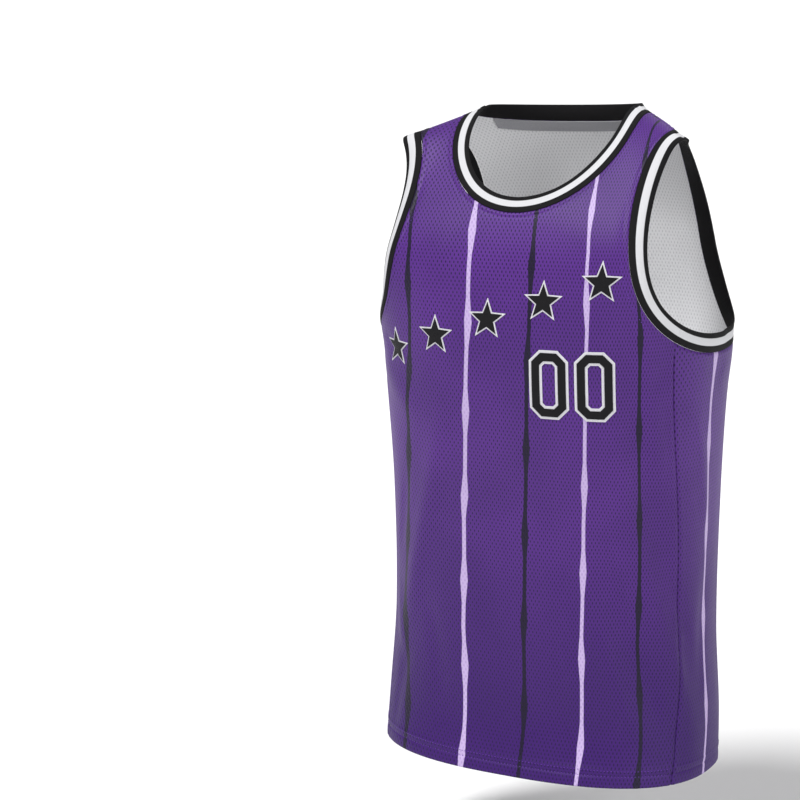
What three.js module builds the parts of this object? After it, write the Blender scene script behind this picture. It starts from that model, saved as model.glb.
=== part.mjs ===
// A sleeveless basketball jersey, worn: a hollow body of four panels with rib bands
// at the neck and the armholes. Millimetres, +Z up, the front faces -Y and the wearer's
// left is +X. The origin lies between the shoulders, at the height where the neck
// edge crosses them.

import * as THREE from 'three';

const seamGap = 0.3;
const clothThickness = 1.5;
const hemThickness = 2.4;
const hemHeight = 19;
const shoulderSlope = 0.445;      // fall of the shoulder line for each millimetre outwards
const shoulderBend = 60;          // how softly that line turns over at its middle
const shoulderRadius = 140;       // height over which front and back round together
const shoulderLean = 0.04;        // the wearer's left shoulder is carried a little higher

// The shoulder line lies this far in front of the side line where x is as given.
const shoulderForward = { reach: 46, atX: 152 };

// The body's sections, by height: the depths from the side line to the front and to the
// back, with the half width and the squareness of each.
const sectionNames = ['front', 'frontWidth', 'frontSquareness', 'back', 'backWidth', 'backSquareness'];
const bodySections = [
  [-757, 140, 204, 2.55, 90, 204, 2.55],
  [-692, 124, 202, 2.55, 101, 202, 2.55],
  [-592, 123, 194, 2.55, 115, 194, 2.55],
  [-442, 134, 194, 2.55, 119, 194, 2.55],
  [-322, 155, 198, 2.55, 123, 198, 2.55],
  [-262, 161, 203, 2.55, 125, 203, 2.65],
  [-212, 160, 208, 2.9, 121, 193, 3.2],
  [-142, 149, 222, 3.7, 108, 168, 4],
  [-52, 107, 212, 3.9, 90, 172, 3.4],
  [48, 70, 198, 3.9, 80, 180, 2.8],
].map(([z, ...sizes]) => ({
  z, ...Object.fromEntries(sectionNames.map((name, column) => [name, sizes[column]])),
}));

// Where the side seams lie, measured along the cloth from the front and back centres.
const seams = { front: 199, back: 222 };

// The neck edge of the panels: half its width on the shoulders, its drop at the
// centre, and the roundness of the curve between.
const neckEdge = {
  front: { halfWidth: 111, drop: 101, roundness: 1.96 },
  back: { halfWidth: 111, drop: 14, roundness: 2.3 },
};

// The armhole edge of the panels. Each half, seen from in front or from behind at an angle,
// is half an egg on the line from the shoulder to the lowest point, its wider end down.
const armhole = { centreZ: -139, reachZ: 122.4, seenFrom: 27 };
const armholeHalves = {
  front: { reach: 86, egg: 0.37, fullness: 1.15 },
  back: { reach: 90, egg: 0.15, fullness: 0.75 },
};

// Rib bands, folded double: their width, and how many radians they bend inwards over
// it, with more where they face front and behind. Behind, the neck band stands up.
const neckBand = { width: 20, bend: 0.16, frontBend: 0, backBend: -1.3 };
const armBand = { width: 22, bend: 0.2, frontBend: 0.75, backBend: -0.65 };
const bandProfile = [
  { across: 0, half: 0.75 },
  { across: 0.12, half: 1.15 },
  { across: 0.5, half: 1.2 },
  { across: 0.88, half: 1.15 },
  { across: 1, half: 0.6 },
];

// The tape that covers the join inside the back of the neck.
const neckTape = { width: 12, thickness: 1, lift: 0.4 };

// The largest folds. Each runs from (fromS, fromZ) to (toS, toZ), where s is measured
// along the cloth from the centre of its face, towards the wearer's left. Bow is how far
// its middle lies towards the wearer's right of a straight line, width is its half
// breadth, and height is positive on a ridge and negative in a trough.
const frontFolds = [
  { fromS: 99, fromZ: -445, toS: 207, toZ: -729, bow: 14, width: 17, height: -5.5 },
  { fromS: 114, fromZ: -329, toS: 217, toZ: -689, bow: 7, width: 13, height: 3.8 },
  { fromS: 145, fromZ: -235, toS: 230, toZ: -653, bow: 18, width: 13, height: -3.4 },
  { fromS: 164, fromZ: -225, toS: 178, toZ: -397, bow: 0, width: 12, height: 2.6 },
  { fromS: -81, fromZ: -341, toS: -162, toZ: -617, bow: 0, width: 16, height: 3.8 },
  { fromS: 96, fromZ: -565, toS: 151, toZ: -705, bow: 4, width: 11, height: 2.8 },
  { fromS: 40, fromZ: -660, toS: 110, toZ: -735, bow: 0, width: 32, height: -3.4 },
  { fromS: -195, fromZ: -277, toS: -120, toZ: -342, bow: 0, width: 19, height: 2.4 },
];
const backFolds = [
  { fromS: 83, fromZ: -390, toS: 112, toZ: -603, bow: 0, width: 15, height: 3.6 },
  { fromS: -128, fromZ: -360, toS: -155, toZ: -438, bow: 0, width: 10, height: 3 },
  { fromS: -140, fromZ: -322, toS: -168, toZ: -412, bow: 0, width: 10, height: -3.4 },
  { fromS: -172, fromZ: -341, toS: -190, toZ: -398, bow: 0, width: 10, height: 2.8 },
  { fromS: -155, fromZ: -252, toS: -180, toZ: -303, bow: 0, width: 13, height: -3 },
  { fromS: 150, fromZ: -470, toS: 120, toZ: -650, bow: -6, width: 18, height: -3 },
  { fromS: -120, fromZ: -520, toS: -150, toZ: -720, bow: 8, width: 18, height: -3.2 },
  { fromS: -185, fromZ: -600, toS: -172, toZ: -720, bow: 0, width: 14, height: 2.6 },
  { fromS: 10, fromZ: -560, toS: -14, toZ: -757, bow: 0, width: 30, height: -2.8 },
];

// How finely the cloth is divided. On the front and back, the inner columns end on the
// lower part of the neck edge, and the outer ones run on up the shoulder strap.
const innerColumns = 6;
const strapColumns = 4;
const underNeckRows = 13;         // from the bottom of the armhole up to the neck edge
const strapRows = 11;             // from there up to the shoulder line
const sideColumns = 8;
const bodyRowHeight = 27;
const ringSteps = 180;
const neckSteps = 240;
const lowNeckShare = { front: 0.52, back: 0.72 };  // of the neck edge, that ends columns
const strapShare = { front: 0.47, back: 0.36 };  // of the armhole edge, beside the strap

const smoothStep = (value, low, high) => {
  const t = Math.min(1, Math.max(0, (value - low) / (high - low)));
  return t * t * (3 - 2 * t);
};

const signedPower = (value, power) => Math.sign(value) * Math.abs(value) ** power;

// A smooth curve through one column of the section table.
function sectionValue(name, z) {
  const last = bodySections.length - 1;
  const height = Math.min(bodySections[last].z, Math.max(bodySections[0].z, z));
  let row = 0;
  while (row < last - 1 && bodySections[row + 1].z < height) row += 1;
  const slopeAt = (index) => {
    const below = bodySections[Math.max(0, index - 1)];
    const above = bodySections[Math.min(last, index + 1)];
    return (above[name] - below[name]) / (above.z - below.z);
  };
  const low = bodySections[row];
  const high = bodySections[row + 1];
  const span = high.z - low.z;
  const t = (height - low.z) / span;
  const rise = t * t * (3 - 2 * t);
  const startBend = t * (1 - t) * (1 - t) * span * slopeAt(row);
  const endBend = t * t * (1 - t) * span * slopeAt(row + 1);
  return low[name] * (1 - rise) + high[name] * rise + startBend - endBend;
}

const neckCorner = Math.hypot(neckEdge.front.halfWidth, shoulderBend);
const shoulderHeight = (x) => shoulderSlope * (neckCorner - Math.hypot(x, shoulderBend));

// How far under the shoulder line a place is, from zero on it to one on the body.
const shoulderLevel = (x, z) => Math.min(1, Math.max(0, (shoulderHeight(x) - z) / shoulderRadius));

const shoulderRoundingSquared = (x, z) => {
  const level = shoulderLevel(x, z);
  return level * (2 - level);
};

// Where front and back would meet, from the side line.
const middleY = (x, z) => -shoulderForward.reach * Math.min(1, x / shoulderForward.atX) ** 4
  * (1 - shoulderLevel(x, z)) ** 2;

// The half of a section that faces front or back.
const sectionHalf = (z, isBack) => ({
  depth: sectionValue(isBack ? 'back' : 'front', z),
  width: sectionValue(isBack ? 'backWidth' : 'frontWidth', z),
  squareness: sectionValue(isBack ? 'backSquareness' : 'frontSquareness', z),
});

// A point of the section at height z. The turn is 0 at the centre of the front,
// a quarter circle at the wearer's left side and a half circle at the centre of the back.
function sectionPoint(z, turn) {
  const isBack = Math.cos(turn) < 0;
  const half = sectionHalf(z, isBack);
  const power = 2 / half.squareness;
  const x = half.width * Math.abs(Math.sin(turn)) ** power;
  const rounding = Math.sqrt(Math.max(0, shoulderRoundingSquared(x, z)));
  const reach = half.depth * Math.abs(Math.cos(turn)) ** power * rounding;
  return new THREE.Vector3(x, middleY(x, z) + (isBack ? reach : -reach), z);
}

// Lengths along half a section, from the centre of the front to that of the back.
const lengthTables = new Map();
function lengthTable(z) {
  const key = z.toFixed(4);
  if (!lengthTables.has(key)) {
    const lengths = [0];
    let previous = sectionPoint(z, 0);
    for (let step = 1; step <= ringSteps; step += 1) {
      const next = sectionPoint(z, (Math.PI * step) / ringSteps);
      lengths.push(lengths[step - 1] + next.distanceTo(previous));
      previous = next;
    }
    lengthTables.set(key, lengths);
  }
  return lengthTables.get(key);
}

const halfGirth = (z) => lengthTable(z)[ringSteps];

function turnAtLength(z, length) {
  const lengths = lengthTable(z);
  let step = 1;
  while (step < ringSteps && lengths[step] < length) step += 1;
  const part = (length - lengths[step - 1]) / (lengths[step] - lengths[step - 1]);
  return (Math.PI * (step - 1 + Math.min(1, Math.max(0, part)))) / ringSteps;
}

function lengthAtTurn(z, turn) {
  const lengths = lengthTable(z);
  const place = Math.min(ringSteps - 1e-9, (turn / Math.PI) * ringSteps);
  const step = Math.floor(place);
  return lengths[step] + (lengths[step + 1] - lengths[step]) * (place - step);
}

// The turn at which the section at height z passes x, in front or behind.
function turnAtX(x, z, isBack) {
  const { width, squareness } = sectionHalf(z, isBack);
  const turn = Math.asin(Math.min(1, x / width) ** (squareness / 2));
  return isBack ? Math.PI - turn : turn;
}

// The outward direction of the body at a point of it, from the slopes of a height
// that is zero on the cloth.
function outwardAt(point, isBack) {
  const { x, y, z } = point;
  const step = 0.5;
  const isRounded = shoulderHeight(x) - z < shoulderRadius;
  const height = (px, py, pz) => {
    const { depth, width, squareness } = sectionHalf(pz, isBack);
    const across = Math.abs(px) / width;
    const reach = Math.abs(py - middleY(px, pz));
    if (!isRounded) return (reach / depth) ** squareness + across ** squareness - 1;
    const taper = Math.max(0, 1 - across ** squareness) ** (2 / squareness);
    return reach * reach - depth * depth * taper * shoulderRoundingSquared(px, pz);
  };
  return new THREE.Vector3(
    height(x + step, y, z) - height(x - step, y, z),
    height(x, y + step, z) - height(x, y - step, z),
    height(x, y, z + step) - height(x, y, z - step),
  ).normalize();
}

// How far the folds of one face lift the cloth at (s, z): each is a soft bell across
// its bowed line that fades out at both ends.
function foldLift(folds, s, z) {
  let lift = 0;
  for (const fold of folds) {
    const runS = fold.toS - fold.fromS;
    const runZ = fold.toZ - fold.fromZ;
    const length = Math.hypot(runS, runZ);
    const along = ((s - fold.fromS) * runS + (z - fold.fromZ) * runZ) / (length * length);
    const straight = ((s - fold.fromS) * runZ - (z - fold.fromZ) * runS) / length;
    const across = straight - fold.bow * 4 * along * (1 - along);
    const ends = smoothStep(along, -0.15, 0.3) * (1 - smoothStep(along, 0.7, 1.15));
    lift += fold.height * Math.exp(-((across / fold.width) ** 2)) * ends;
  }
  return lift;
}

// The cloth at (s, z). s runs round the body from the centre of the front by the
// wearer's left and may pass the centre of the back.
function clothPoint(s, z) {
  const half = halfGirth(z);
  const passedBack = s > half;
  const turn = turnAtLength(z, passedBack ? 2 * half - s : Math.abs(s));
  const point = sectionPoint(z, turn);
  if (passedBack || s < 0) point.x = -point.x;
  const outward = outwardAt(point, Math.cos(turn) < 0);
  const fromFront = passedBack ? s - 2 * half : s;
  const fromBack = s < 0 ? -half - s : half - s;
  const lift = foldLift(frontFolds, fromFront, z) + foldLift(backFolds, fromBack, z);
  point.addScaledVector(outward, lift);
  point.z += shoulderLean * point.x * smoothStep(z, -360, -60);
  return { point, outward };
}

// The highest and lowest places of the armhole edge, on the shoulder and under the arm.
const armholeTop = armhole.centreZ + armhole.reachZ;
const armholeLow = armhole.centreZ - armhole.reachZ;
const armholeTopX = Math.sqrt((neckCorner - armholeTop / shoulderSlope) ** 2 - shoulderBend ** 2);

// A point of the wearer's left armhole edge. The angle is 0 at the top, grows down
// the front to a half circle at the bottom, and is negative behind.
function armholePoint(angle) {
  const isBack = Math.sin(angle) < 0;
  const half = isBack ? armholeHalves.back : armholeHalves.front;
  const sweep = Math.abs(Math.sin(angle)) ** half.fullness * (1 - half.egg * Math.cos(angle));
  const z = armhole.centreZ + armhole.reachZ * Math.cos(angle);
  const seenAt = armhole.seenFrom * (Math.PI / 180) * (isBack ? -1 : 1);
  const seen = (x, y) => x * Math.cos(seenAt) + y * Math.sin(seenAt);
  const top = seen(armholeTopX, middleY(armholeTopX, armholeTop));
  const low = seen(sectionPoint(armholeLow, Math.PI / 2).x, 0);
  const edge = top + ((low - top) * (1 - Math.cos(angle))) / 2 - half.reach * sweep;
  const turnFrom = (part) => (isBack ? Math.PI - part : part);
  const part = solve(0, Math.PI / 2, (middle) => {
    const point = sectionPoint(z, turnFrom(middle));
    return seen(point.x, point.y) < edge;
  });
  const turn = turnFrom(part);
  return { s: lengthAtTurn(z, turn), z, x: sectionPoint(z, turn).x };
}

function solve(low, high, isBelow) {
  let start = low;
  let end = high;
  for (let round = 0; round < 50; round += 1) {
    const middle = (start + end) / 2;
    if (isBelow(middle)) start = middle;
    else end = middle;
  }
  return (start + end) / 2;
}

// Where the armhole edge meets the side seams.
const backSeamAt = (z) => halfGirth(z) - seams.back;
const frontJoin = solve(Math.PI / 2, Math.PI, (angle) => armholePoint(angle).s < seams.front);
const backJoin = solve(Math.PI / 2, Math.PI, (angle) => {
  const edge = armholePoint(-angle);
  return edge.s > backSeamAt(edge.z);
});

// Heights of the rows from the hem up to a level, with two close rows at the hem's top.
function heightsUpTo(top) {
  const bottom = bodySections[0].z;
  const start = bottom + hemHeight + 0.6;
  const count = Math.round((top - start) / bodyRowHeight);
  const above = Array.from({ length: count + 1 }, (_, row) => start
    + ((top - start) * row) / count);
  return [bottom, bottom + hemHeight, ...above];
}

// Half of a neck edge from its centre to the shoulder, as points of (x, z) that lie
// evenly along it: first those that end columns, then those beside the strap.
function neckEdgePoints(isBack) {
  const neck = isBack ? neckEdge.back : neckEdge.front;
  const lowShare = isBack ? lowNeckShare.back : lowNeckShare.front;
  const points = Array.from({ length: neckSteps + 1 }, (_, step) => {
    const x = neck.halfWidth * Math.sin((Math.PI / 2) * (step / neckSteps));
    const fall = Math.max(0, 1 - (x / neck.halfWidth) ** neck.roundness);
    return { x, z: -neck.drop * fall ** (1 / neck.roundness) };
  });
  points[neckSteps] = { x: neck.halfWidth, z: 0 };
  const lengths = [0];
  let previous = sectionPoint(points[0].z, turnAtX(points[0].x, points[0].z, isBack));
  for (let step = 1; step <= neckSteps; step += 1) {
    const { x, z } = points[step];
    const next = sectionPoint(z, turnAtX(x, z, isBack));
    lengths.push(lengths[step - 1] + next.distanceTo(previous));
    previous = next;
  }
  const at = (share) => {
    const wanted = share * lengths[neckSteps];
    let step = 1;
    while (step < neckSteps && lengths[step] < wanted) step += 1;
    const part = (wanted - lengths[step - 1]) / (lengths[step] - lengths[step - 1]);
    const low = points[step - 1];
    const high = points[step];
    return { x: low.x + (high.x - low.x) * part, z: low.z + (high.z - low.z) * part };
  };
  const low = Array.from({ length: innerColumns + 1 }, (_, index) => (
    at((lowShare * index) / innerColumns)));
  const beside = Array.from({ length: strapRows + 1 }, (_, index) => (
    at(lowShare + ((1 - lowShare) * index) / strapRows)));
  return { low, beside };
}

const mix = (from, to, part) => ({
  x: from.x + (to.x - from.x) * part,
  z: from.z + (to.z - from.z) * part,
});

// The wall's half thicknesses at a height: the hem is turned up inside.
function withWall(spot, z) {
  const half = clothThickness / 2;
  const isHem = z < bodySections[0].z + hemHeight + 0.3;
  return { ...spot, outer: half, inner: isHem ? hemThickness - half : half };
}

// Half of the front or the back as (x, z) or (s, z) places, a row at a time from the
// hem up. Rows above the neck edge's bottom have no inner columns.
function halfPanelPlaces(isBack) {
  const seam = isBack ? seams.back : seams.front;
  const join = isBack ? -backJoin : frontJoin;
  const share = isBack ? strapShare.back : strapShare.front;
  const neck = neckEdgePoints(isBack);
  const columns = innerColumns + strapColumns;
  const joinHeight = armholePoint(join).z;
  const rows = heightsUpTo(joinHeight).map((z) => (
    Array.from({ length: columns + 1 }, (_, column) => {
      const s = (seam * column) / columns;
      return { s: column === columns ? s - seamGap / 2 : s, z };
    })));
  const start = rows[rows.length - 1].map(({ s, z }) => {
    const length = isBack ? halfGirth(z) - s : s;
    return { x: sectionPoint(z, turnAtLength(z, length)).x, z };
  });
  const sideEdge = armholePoint(join * share);
  const end = Array.from({ length: columns + 1 }, (_, column) => (column <= innerColumns
    ? neck.low[column]
    : mix(neck.low[innerColumns], sideEdge, (column - innerColumns) / strapColumns)));
  const lastStep = 1 - neckTape.width / (neck.low[0].z - joinHeight);
  for (let row = 1; row <= underNeckRows; row += 1) {
    const even = (lastStep * row) / (underNeckRows - 1);
    const part = row === underNeckRows ? 1 : even;
    const edge = armholePoint(join * (1 - (1 - share) * part));
    const straight = mix(start[columns], end[columns], part);
    rows.push(start.map((from, column) => {
      const place = mix(from, end[column], part);
      const pull = (column / columns) ** 2;
      place.x += (edge.x - straight.x) * pull;
      place.z += (edge.z - straight.z) * pull;
      return place;
    }));
  }
  for (let row = 1; row <= strapRows; row += 1) {
    const edge = armholePoint(join * share * (1 - row / strapRows));
    rows.push(Array.from({ length: columns + 1 }, (_, column) => (column < innerColumns
      ? null
      : mix(neck.beside[row], edge, (column - innerColumns) / strapColumns))));
  }
  return rows;
}

// The front or the back as a grid of cloth points.
function facePanel(isBack) {
  const places = halfPanelPlaces(isBack);
  const columns = innerColumns + strapColumns;
  return places.map((row, index) => {
    const isRidge = index === places.length - 1;
    return Array.from({ length: 2 * columns + 1 }, (_, at) => {
      const place = row[Math.abs(at - columns)];
      if (!place) return null;
      const { z } = place;
      let { s } = place;
      if (s === undefined) {
        const length = lengthAtTurn(z, turnAtX(place.x, z, isBack));
        s = isBack ? halfGirth(z) - length : length;
      }
      const signed = at < columns ? -s : s;
      const spot = clothPoint(isBack ? halfGirth(z) + signed : signed, z);
      if (isRidge) {
        spot.point.y = middleY(place.x, z) + ((isBack ? 1 : -1) * seamGap) / 2;
      }
      return withWall(spot, z);
    });
  });
}

// A side panel: its top follows the bottom of the armhole.
function sidePanel(isRight) {
  const columns = Array.from({ length: sideColumns + 1 }, (_, index) => {
    const part = index / sideColumns;
    const edge = armholePoint(frontJoin + (2 * Math.PI - backJoin - frontJoin) * part);
    const width = backSeamAt(edge.z) - seams.front;
    const crowded = index % sideColumns === 0 ? part : (edge.s - seams.front) / width;
    return { even: part, crowded, topZ: edge.z };
  });
  const lowest = Math.min(...columns.map((column) => column.topZ));
  const joinHeight = lowest - 2 * bodyRowHeight;
  const heights = heightsUpTo(joinHeight);
  const topParts = [0.34, 0.67, 1];
  const rowCount = heights.length + topParts.length;
  return Array.from({ length: rowCount }, (_, row) => {
    const line = columns.map((column) => {
      const topPart = row < heights.length ? 0 : topParts[row - heights.length];
      const z = row < heights.length
        ? heights[row]
        : joinHeight + topPart * (column.topZ - joinHeight);
      const place = column.even + (column.crowded - column.even) * topPart;
      const start = seams.front + seamGap / 2;
      const end = backSeamAt(z) - seamGap / 2;
      const s = start + place * (end - start);
      return withWall(clothPoint(isRight ? 2 * halfGirth(z) - s : s, z), z);
    });
    return isRight ? line.reverse() : line;
  });
}

// Every four neighbouring points of a grid that are all there make a cell, listed
// anticlockwise as seen from outside. A closed grid meets itself.
function gridCells(grid, isClosed = false) {
  const cells = [];
  const lastColumn = isClosed ? grid[0].length : grid[0].length - 1;
  for (let row = 0; row < grid.length - 1; row += 1) {
    for (let column = 0; column < lastColumn; column += 1) {
      const next = (column + 1) % grid[0].length;
      const below = grid[row];
      const above = grid[row + 1];
      const cell = [below[column], below[next], above[next], above[column]];
      if (cell.every(Boolean)) cells.push(cell);
    }
  }
  return cells;
}

// A closed solid from cells of cloth points: an outer and an inner skin, joined
// round every edge that only one cell has.
function wallGeometry(cells) {
  const spots = [...new Set(cells.flat())];
  const indexOf = new Map(spots.map((spot, index) => [spot, index]));
  const positions = [];
  for (const isOuter of [true, false]) {
    for (const spot of spots) {
      const offset = isOuter ? spot.outer : -spot.inner;
      positions.push(...spot.point.clone().addScaledVector(spot.outward, offset).toArray());
    }
  }
  const faces = [];
  const edges = new Map();
  const quad = (a, b, c, d) => faces.push(a, b, c, a, c, d);
  for (const cell of cells) {
    const [a, b, c, d] = cell.map((spot) => indexOf.get(spot));
    const down = spots.length;
    quad(a, b, c, d);
    quad(a + down, d + down, c + down, b + down);
    for (const [from, to] of [[a, b], [b, c], [c, d], [d, a]]) edges.set(`${from} ${to}`, [from, to]);
  }
  for (const [from, to] of edges.values()) {
    if (!edges.has(`${to} ${from}`)) quad(from, from + spots.length, to + spots.length, to);
  }
  const geometry = new THREE.BufferGeometry();
  geometry.setAttribute('position', new THREE.Float32BufferAttribute(positions, 3));
  geometry.setIndex(faces);
  geometry.computeVertexNormals();
  return geometry;
}

// A rib band inside a closed edge: its profile is carried round the edge, square to
// it, and bends inwards from the line of the cloth along an arc.
function bandGrid(loop, band) {
  const count = loop.length;
  return bandProfile.map((station) => loop.map((spot, index) => {
    const before = loop[(index + count - 1) % count].point;
    const after = loop[(index + 1) % count].point;
    const along = new THREE.Vector3().subVectors(after, before).normalize();
    const inwards = new THREE.Vector3().crossVectors(spot.outward, along).normalize();
    const bend = band.bend + band.frontBend * Math.max(0, -spot.outward.y)
      + band.backBend * Math.max(0, spot.outward.y);
    const radius = (band.width - seamGap) / (Math.abs(bend) < 0.001 ? 0.001 : bend);
    const turned = ((band.width - seamGap) / radius) * station.across;
    const point = spot.point.clone()
      .addScaledVector(inwards, seamGap + radius * Math.sin(turned))
      .addScaledVector(spot.outward, -radius * (1 - Math.cos(turned)));
    const outward = spot.outward.clone().multiplyScalar(Math.cos(turned))
      .addScaledVector(inwards, Math.sin(turned));
    return { point, outward, outer: station.half, inner: station.half };
  }));
}

// The middle of the shoulder seam, from the front panel's end of it.
const onShoulder = (spot) => {
  const point = spot.point.clone();
  point.y += seamGap / 2;
  return { ...spot, point };
};
const columnOf = (grid, column) => grid.map((row) => row[column]);

// The neck edge of one face, from the corner at its first column to the other corner.
function neckRun(panel) {
  const bottom = panel.length - 1 - strapRows;
  const first = strapColumns;
  const last = panel[0].length - 1 - strapColumns;
  return [
    ...columnOf(panel, first).slice(bottom + 1).reverse(),
    ...panel[bottom].slice(first, last + 1),
    ...columnOf(panel, last).slice(bottom + 1),
  ];
}

function neckLoop(front, back) {
  const frontRun = neckRun(front);
  const end = frontRun.length - 1;
  frontRun[0] = onShoulder(frontRun[0]);
  frontRun[end] = onShoulder(frontRun[end]);
  return [...frontRun, ...neckRun(back).slice(1, -1)];
}

// The edge of one armhole, round by the front, the shoulder or the side, and the back.
function armLoop(front, back, side, isRight) {
  const last = front[0].length - 1;
  const rows = underNeckRows + strapRows + 1;
  const frontEdge = columnOf(front, isRight ? 0 : last).slice(-rows);
  const backEdge = columnOf(back, isRight ? last : 0).slice(-rows);
  const sideEdge = side[side.length - 1].slice(1, -1);
  frontEdge[rows - 1] = onShoulder(frontEdge[rows - 1]);
  backEdge.pop();
  return isRight
    ? [...frontEdge, ...backEdge.reverse(), ...sideEdge]
    : [...frontEdge.reverse(), ...sideEdge, ...backEdge];
}

// The tape lies inside the back, on the cells along the low part of its neck edge.
function tapeCells(back) {
  const lowRow = back[back.length - 1 - strapRows];
  const edge = new Set(lowRow.slice(strapColumns, -strapColumns));
  const half = neckTape.thickness / 2;
  const depth = clothThickness / 2 + neckTape.lift + half;
  const moved = new Map();
  const lay = (spot) => {
    if (!moved.has(spot)) {
      const point = spot.point.clone().addScaledVector(spot.outward, -depth);
      moved.set(spot, { point, outward: spot.outward, outer: half, inner: half });
    }
    return moved.get(spot);
  };
  return gridCells(back)
    .filter((cell) => cell.filter((spot) => edge.has(spot)).length > 1)
    .map((cell) => cell.map(lay));
}

function piece(name, geometry, color, roughness) {
  const material = new THREE.MeshStandardMaterial({ color, roughness, metalness: 0 });
  const mesh = new THREE.Mesh(geometry, material);
  mesh.name = name;
  return mesh;
}

const purple = 0x5a2b93;
const ribBlack = 0x17161a;
const tapeGrey = 0x9a9a9e;

const front = facePanel(false);
const back = facePanel(true);
const leftSide = sidePanel(false);
const rightSide = sidePanel(true);
const panelWall = (grid) => wallGeometry(gridCells(grid));
const bandWall = (loop, band) => wallGeometry(gridCells(bandGrid(loop, band), true));

const jersey = new THREE.Group();
jersey.add(
  piece('front_panel', panelWall(front), purple, 0.8),
  piece('back_panel', panelWall(back), purple, 0.8),
  piece('side_panel_left', panelWall(leftSide), purple, 0.8),
  piece('side_panel_right', panelWall(rightSide), purple, 0.8),
  piece('neck_band', bandWall(neckLoop(front, back), neckBand), ribBlack, 0.85),
);
for (const isRight of [false, true]) {
  const loop = armLoop(front, back, isRight ? rightSide : leftSide, isRight);
  const name = isRight ? 'armhole_band_right' : 'armhole_band_left';
  jersey.add(piece(name, bandWall(loop, armBand), ribBlack, 0.85));
}
jersey.add(piece('back_neck_tape', wallGeometry(tapeCells(back)), tapeGrey, 0.8));

export default jersey;
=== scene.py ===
import bpy
import numpy as np
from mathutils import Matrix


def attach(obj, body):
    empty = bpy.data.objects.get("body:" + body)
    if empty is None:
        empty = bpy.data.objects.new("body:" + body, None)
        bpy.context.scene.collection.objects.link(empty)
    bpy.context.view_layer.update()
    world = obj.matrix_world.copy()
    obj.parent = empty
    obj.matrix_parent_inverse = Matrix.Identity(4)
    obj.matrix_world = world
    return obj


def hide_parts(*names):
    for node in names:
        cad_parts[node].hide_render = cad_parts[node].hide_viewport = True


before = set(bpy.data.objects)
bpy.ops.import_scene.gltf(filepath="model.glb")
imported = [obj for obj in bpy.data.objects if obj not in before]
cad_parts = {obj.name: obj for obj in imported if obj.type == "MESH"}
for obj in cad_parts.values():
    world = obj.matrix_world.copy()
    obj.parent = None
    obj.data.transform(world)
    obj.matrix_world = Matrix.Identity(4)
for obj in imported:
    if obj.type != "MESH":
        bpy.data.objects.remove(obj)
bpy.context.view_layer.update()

# The body of the jersey, as its solids have it
body = {
    "sections": {
        "z": (-757, -692, -592, -442, -322, -262, -212, -142, -52, 48),
        "front": (140, 124, 123, 134, 155, 161, 160, 149, 107, 70),
        "frontWidth": (204, 202, 194, 194, 198, 203, 208, 222, 212, 198),
        "frontSquareness": (2.55, 2.55, 2.55, 2.55, 2.55, 2.55, 2.9, 3.7, 3.9, 3.9),
        "back": (90, 101, 115, 119, 123, 125, 121, 108, 90, 80),
        "backWidth": (204, 202, 194, 194, 198, 203, 193, 168, 172, 180),
        "backSquareness": (2.55, 2.55, 2.55, 2.55, 2.55, 2.65, 3.2, 4, 3.4, 2.8),
    },
    "shoulder": {"slope": 0.445, "bend": 60, "radius": 140, "lean": 0.04, "forward": 46, "atX": 152},
    "seam": {"front": 199, "back": 222},
    "neck": {"halfWidth": 111, "frontDrop": 101, "frontRound": 1.96, "backDrop": 14, "backRound": 2.3},
    "armhole": {
        "centreZ": -139, "reachZ": 122.4, "seenFrom": 27,  # each half, seen from an angle, is half an egg
        "front": {"reach": 86, "egg": 0.37, "fullness": 1.15},
        "back": {"reach": 90, "egg": 0.15, "fullness": 0.75},
    },
    "strapShare": {"front": 0.47, "back": 0.36},
    "lowNeckShare": {"front": 0.52, "back": 0.72},
    "gap": 0.3,
    "halfThickness": 0.75,
    "hemHeight": 19,
}

# Folds: from (s, z) to (s, z), sideways bow, half breadth, height (ridge +, trough -)
folds = {
    "front": (
        (99, -445, 207, -729, 14, 17, -5.5),
        (114, -329, 217, -689, 7, 13, 3.8),
        (145, -235, 230, -653, 18, 13, -3.4),
        (164, -225, 178, -397, 0, 12, 2.6),
        (-81, -341, -162, -617, 0, 16, 3.8),
        (96, -565, 151, -705, 4, 11, 2.8),
        (40, -660, 110, -735, 0, 32, -3.4),
        (-195, -277, -120, -342, 0, 19, 2.4),
    ),
    "back": (
        (83, -390, 112, -603, 0, 15, 3.6),
        (-128, -360, -155, -438, 0, 10, 3),
        (-140, -322, -168, -412, 0, 10, -3.4),
        (-172, -341, -190, -398, 0, 10, 2.8),
        (-155, -252, -180, -303, 0, 13, -3),
        (150, -470, 120, -650, -6, 18, -3),
        (-120, -520, -150, -720, 8, 18, -3.2),
        (-185, -600, -172, -720, 0, 14, 2.6),
        (10, -560, -14, -757, 0, 30, -2.8),
    ),
}

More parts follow.
